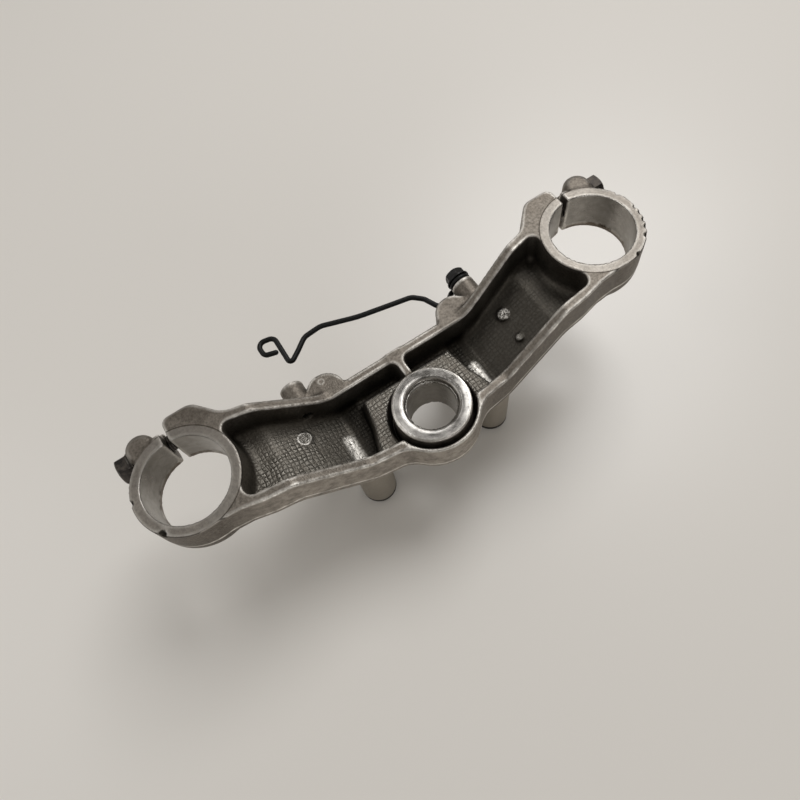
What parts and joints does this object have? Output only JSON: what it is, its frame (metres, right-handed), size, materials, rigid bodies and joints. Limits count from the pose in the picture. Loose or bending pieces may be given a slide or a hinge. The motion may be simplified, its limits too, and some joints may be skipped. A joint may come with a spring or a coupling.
{
  "type": "upper fork yoke",
  "caption": "Cast aluminium upper yoke of a motorcycle fork, upside down, with slit fork clamps, a stem boss, handlebar pillars and a wire cable guide.",
  "frame": {"origin": "on the axis of the steering stem bore, in the plane of the yoke's outer face", "axes": "+X from the left to the right fork clamp, +Y to the front of the machine, +Z out of the pocketed side"},
  "size_m": [0.2772, 0.1098, 0.09],
  "materials": {
    "cast_alloy": "rough, weathered",
    "bolt_steel": "dark, oxidised",
    "black_wire": "satin"
  },
  "bodies": {
    "root": {"yoke": "cast_alloy", "clamp_bolt_left": "bolt_steel", "clamp_bolt_right": "bolt_steel", "cable_guide": "black_wire", "guide_bolt": "black_wire"}
  },
  "joints": []
}
